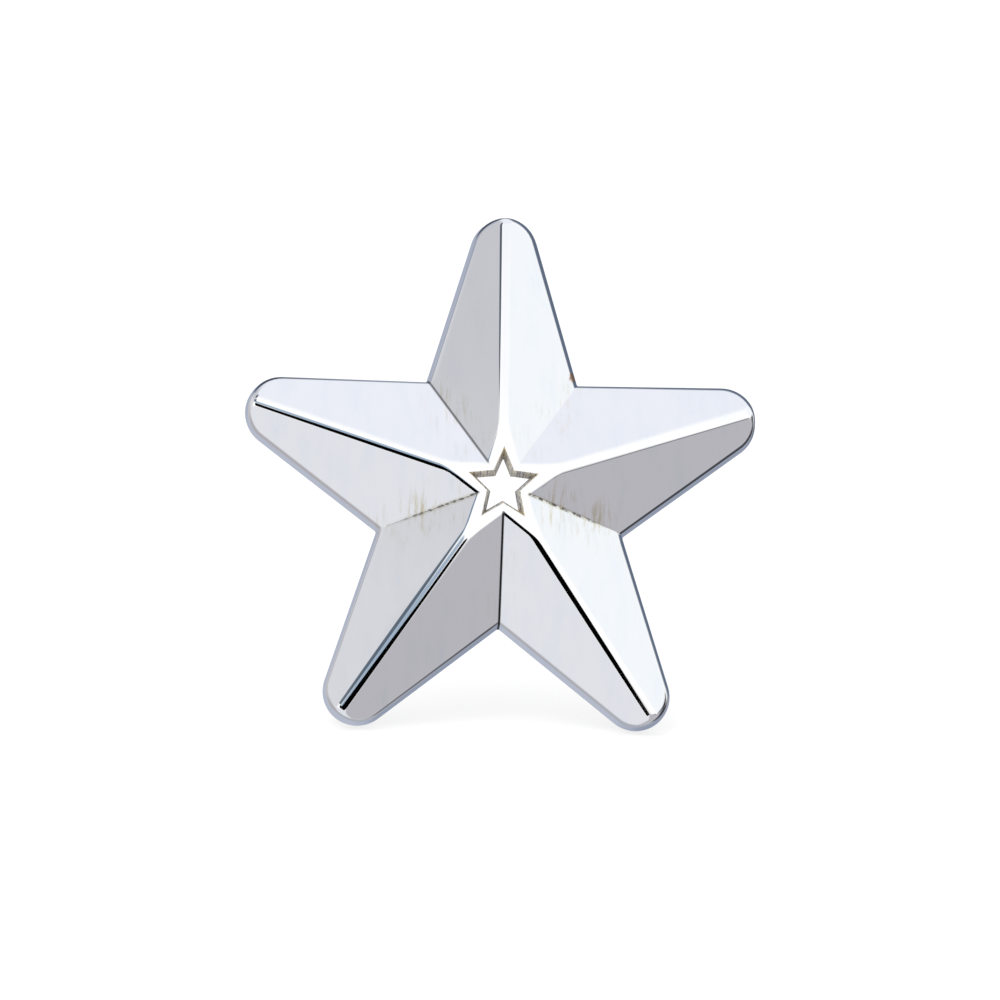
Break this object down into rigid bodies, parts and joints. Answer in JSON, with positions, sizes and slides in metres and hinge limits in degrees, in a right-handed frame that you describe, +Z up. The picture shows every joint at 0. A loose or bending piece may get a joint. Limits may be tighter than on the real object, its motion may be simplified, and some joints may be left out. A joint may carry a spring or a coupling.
{
  "type": "star trophy",
  "caption": "Free-standing chrome five-pointed star award with a star-shaped window and a folding wire easel on its back.",
  "frame": {"origin": "middle of the award's footprint, on the surface that it stands on", "axes": "+Z up; the front of the star faces -Y and leans back towards +Y; +X to the right as seen from the front"},
  "size_m": [0.1276, 0.042, 0.1238],
  "materials": {
    "chrome_star": "polished chrome plate on a zinc casting",
    "plate_black": "black powder-coated sheet steel",
    "screw_steel": "zinc-plated steel",
    "bumper_rubber": "black rubber",
    "pad_rubber": "thin black rubber strip",
    "saddle_steel": "nickel-plated sheet steel",
    "rivet_steel": "nickel-plated steel",
    "wire_steel": "nickel-plated spring wire",
    "sleeve_vinyl": "black dipped vinyl"
  },
  "bodies": {
    "star": {"star_shell": "chrome_star", "back_plate": "plate_black", "plate_screws": "screw_steel", "wall_bumpers": "bumper_rubber", "stop_pad": "pad_rubber", "saddle_left": "saddle_steel", "saddle_right": "saddle_steel", "saddle_rivets": "rivet_steel"},
    "easel": {"easel_wire": "wire_steel", "foot_sleeve_left": "sleeve_vinyl", "foot_sleeve_right": "sleeve_vinyl"}
  },
  "joints": [
    {"name": "easel_fold", "type": "hinge", "parent": "star", "child": "easel", "pos_m": [0, -0.00206, 0.03647], "axis": [1, 0, 0], "range_deg": [-28, 0]}
  ]
}
